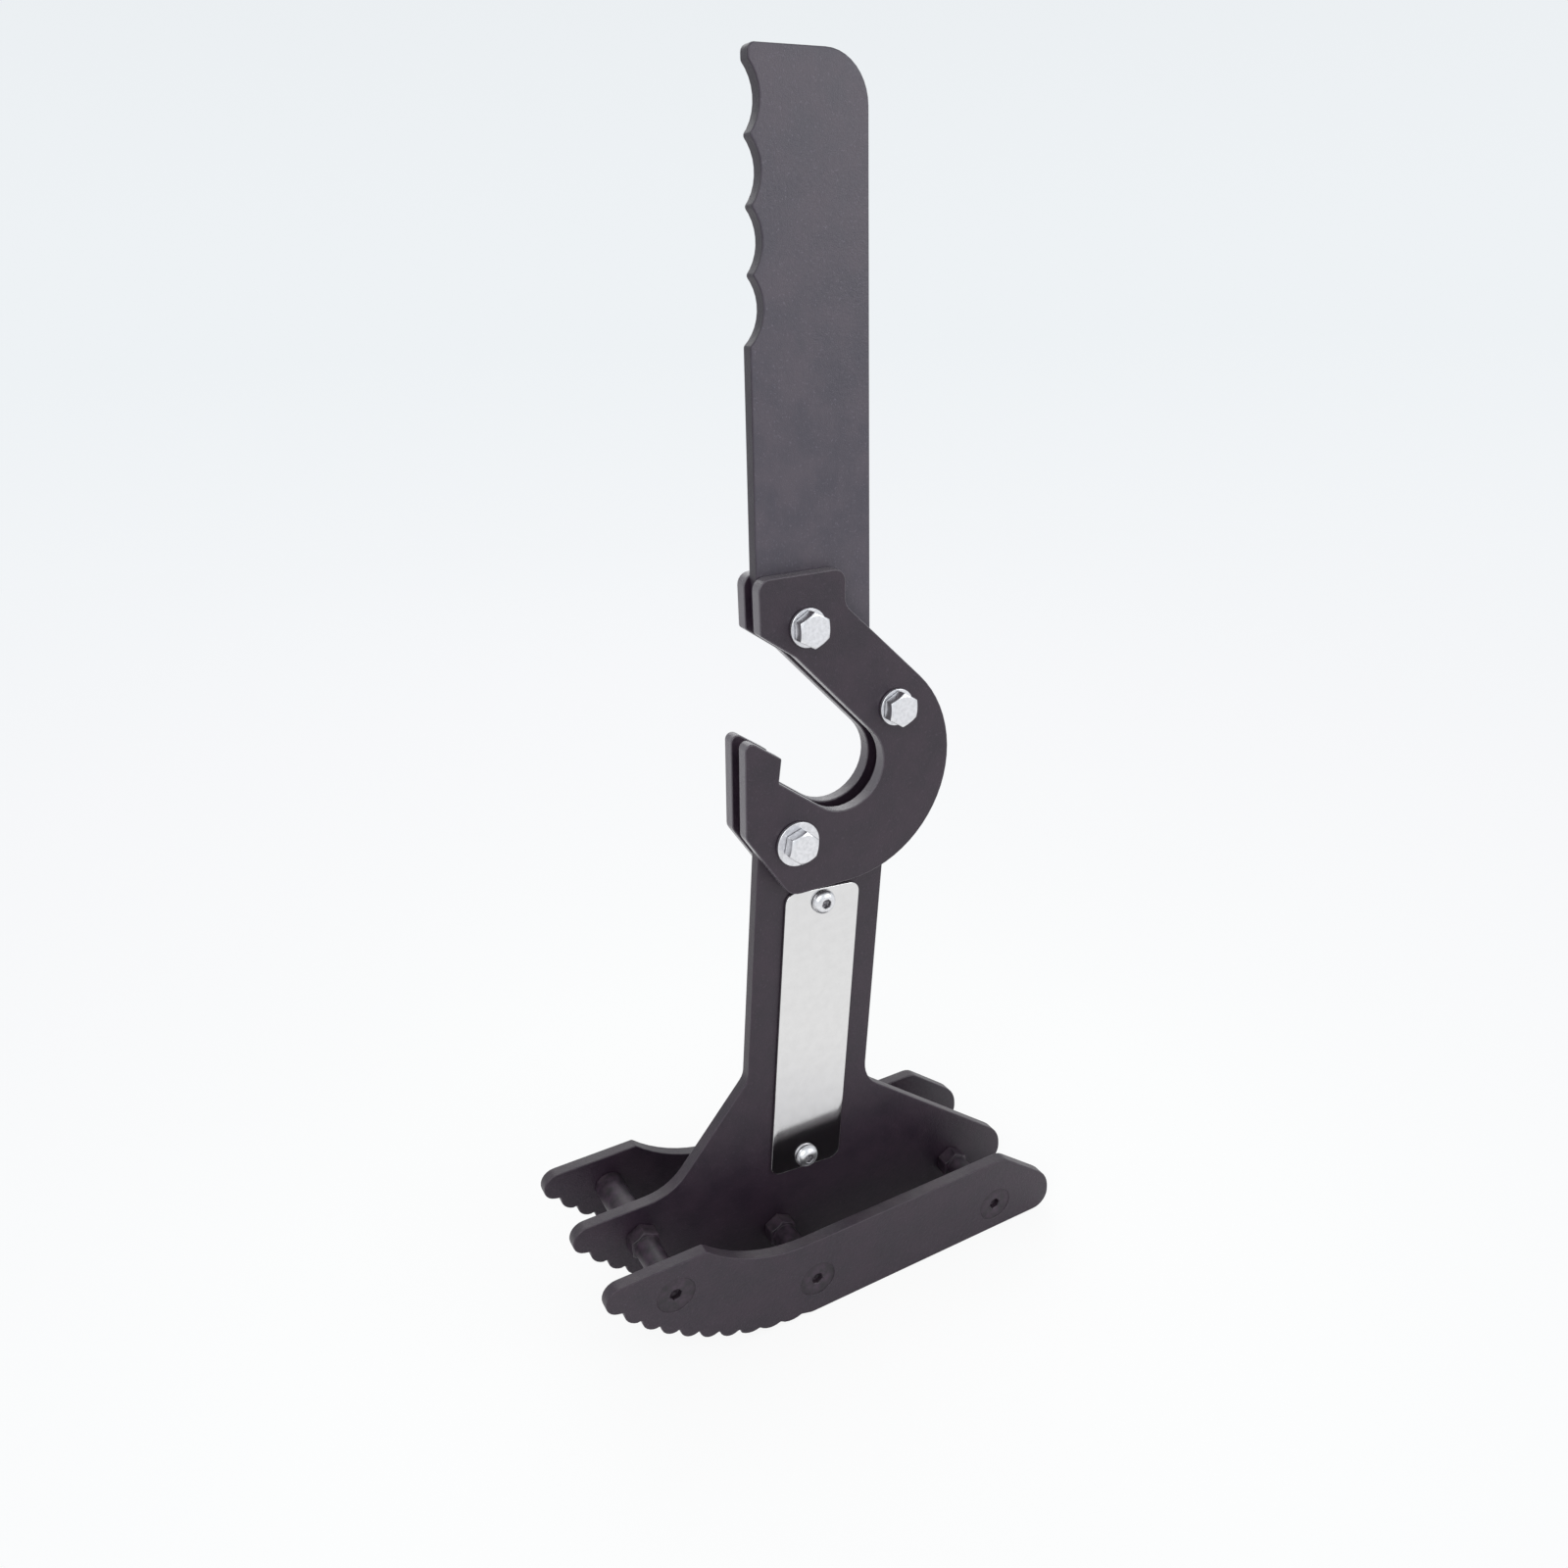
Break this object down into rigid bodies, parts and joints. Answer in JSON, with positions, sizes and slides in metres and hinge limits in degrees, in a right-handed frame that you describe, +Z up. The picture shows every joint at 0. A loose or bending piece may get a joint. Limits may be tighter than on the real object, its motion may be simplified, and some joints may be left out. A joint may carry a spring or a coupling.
{
  "type": "deadlift jack",
  "caption": "Rocking lever with a C-shaped bar hook, a finger-grip handle and toothed rocker plates, for rolling the loaded end of a barbell off the floor.",
  "frame": {"origin": "floor level under the middle of the bounding box, with the jack upright on its flat sole", "axes": "+Z up along the column and handle; +X from the raised toothed tip of the rocker to its nose; +Y through the plates, from the name plate's side to the nuts' side"},
  "size_m": [0.2378, 0.0852, 0.5165],
  "materials": {
    "powder_coat": "fine-textured satin black powder coat",
    "handle_coat": "smoother dark grey satin coat",
    "black_oxide": "black oxide steel, satin",
    "bare_steel": "bright stainless sheet, finely brushed",
    "zinc": "bright zinc plate"
  },
  "bodies": {
    "root": {"column_plate": "powder_coat", "base_plate_front": "powder_coat", "base_plate_rear": "powder_coat", "hook_plate_front": "powder_coat", "hook_plate_rear": "powder_coat", "handle_plate": "handle_coat", "standoff_left": "black_oxide", "sleeve_left": "black_oxide", "front_screw_left": "black_oxide", "rear_screw_left": "black_oxide", "standoff_centre": "black_oxide", "sleeve_centre": "black_oxide", "front_screw_centre": "black_oxide", "rear_screw_centre": "black_oxide", "standoff_right": "black_oxide", "sleeve_right": "black_oxide", "front_screw_right": "black_oxide", "rear_screw_right": "black_oxide", "name_plate": "bare_steel", "name_plate_screw_upper": "zinc", "name_plate_screw_lower": "zinc", "hook_bolt_upper": "zinc", "front_washer_upper": "zinc", "rear_washer_upper": "zinc", "hook_nut_upper": "zinc", "hook_bolt_middle": "zinc", "front_washer_middle": "zinc", "rear_washer_middle": "zinc", "hook_nut_middle": "zinc", "hook_bolt_lower": "zinc", "front_washer_lower": "zinc", "rear_washer_lower": "zinc", "hook_nut_lower": "zinc"}
  },
  "joints": []
}
